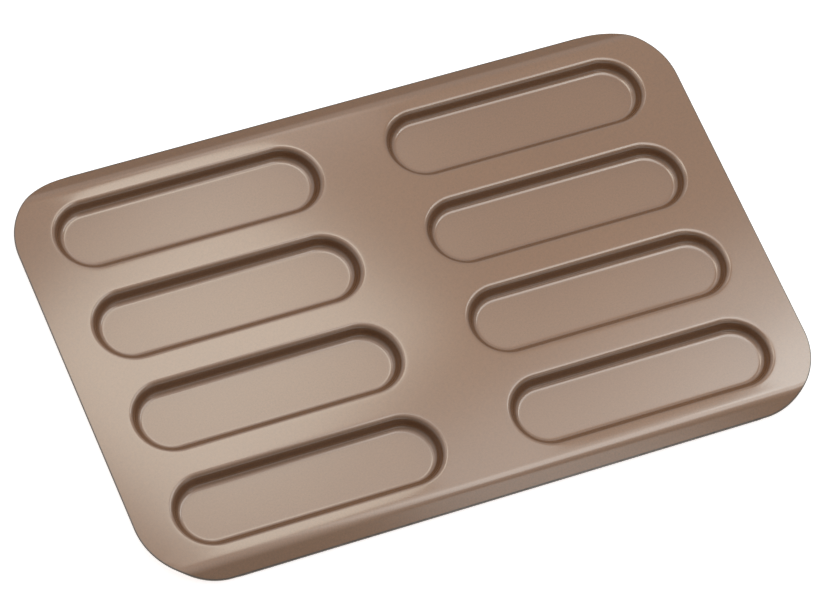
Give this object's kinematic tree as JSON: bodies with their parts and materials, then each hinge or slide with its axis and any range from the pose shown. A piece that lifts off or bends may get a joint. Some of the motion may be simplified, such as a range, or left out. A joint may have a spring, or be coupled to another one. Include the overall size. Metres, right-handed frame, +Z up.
{
  "type": "eclair pan",
  "caption": "Shallow oblong baking pan of coated sheet steel, with long round-ended cups pressed in for eclairs and its two long edges folded down.",
  "frame": {"origin": "centre of the pan in plan, at the level of the undersides of the cup floors that it stands on", "axes": "+X along the long side and the cups, +Y across the cups towards the rear flange, +Z up out of the cup mouths"},
  "size_m": [0.37, 0.2404, 0.0077],
  "materials": {
    "coated_steel": "satin champagne-gold non-stick coating on steel"
  },
  "bodies": {
    "root": {"deck": "coated_steel", "cup_left_1": "coated_steel", "cup_left_2": "coated_steel", "cup_left_3": "coated_steel", "cup_left_4": "coated_steel", "cup_right_1": "coated_steel", "cup_right_2": "coated_steel", "cup_right_3": "coated_steel", "cup_right_4": "coated_steel", "front_flange": "coated_steel", "rear_flange": "coated_steel"}
  },
  "joints": []
}
